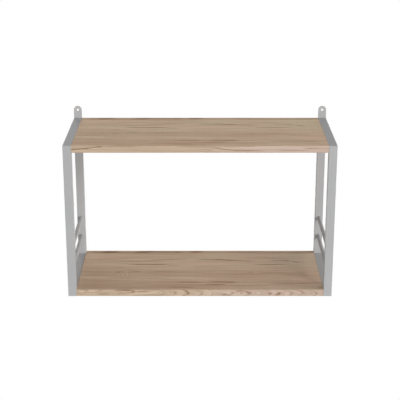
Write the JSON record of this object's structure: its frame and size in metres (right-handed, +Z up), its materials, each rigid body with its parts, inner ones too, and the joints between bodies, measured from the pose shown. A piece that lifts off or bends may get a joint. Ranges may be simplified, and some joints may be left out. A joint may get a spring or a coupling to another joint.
{
  "type": "wall bookshelf",
  "caption": "Bookshelf for a wall: wooden boards held between closed side frames of grey steel tube, with round rods low on the open sides and tabs at the top for the wall screws.",
  "frame": {"origin": "middle of the base: half way across the width and the depth, at the height of the frames' undersides, where the shelf stands when it is set down", "axes": "+X to the right seen from the front, +Y towards the wall, so the front faces -Y, +Z up"},
  "size_m": [0.6458, 0.26, 0.4105],
  "materials": {
    "grey_paint": "light grey powder coat, matt",
    "oak": "oak, matt oil",
    "zinc_steel": "bright zinc plated",
    "insert_brass": "machined"
  },
  "bodies": {
    "root": {"left_front_upright": "grey_paint", "left_rear_upright": "grey_paint", "left_top_bar": "grey_paint", "left_bottom_bar": "grey_paint", "left_lower_rod": "grey_paint", "left_upper_rod": "grey_paint", "left_wall_tab": "grey_paint", "right_front_upright": "grey_paint", "right_rear_upright": "grey_paint", "right_top_bar": "grey_paint", "right_bottom_bar": "grey_paint", "right_lower_rod": "grey_paint", "right_upper_rod": "grey_paint", "right_wall_tab": "grey_paint", "top_board": "oak", "top_left_bolts": "zinc_steel", "top_left_inserts": "insert_brass", "top_right_bolts": "zinc_steel", "top_right_inserts": "insert_brass", "bottom_board": "oak", "bottom_left_bolts": "zinc_steel", "bottom_left_inserts": "insert_brass", "bottom_right_bolts": "zinc_steel", "bottom_right_inserts": "insert_brass"}
  },
  "joints": []
}
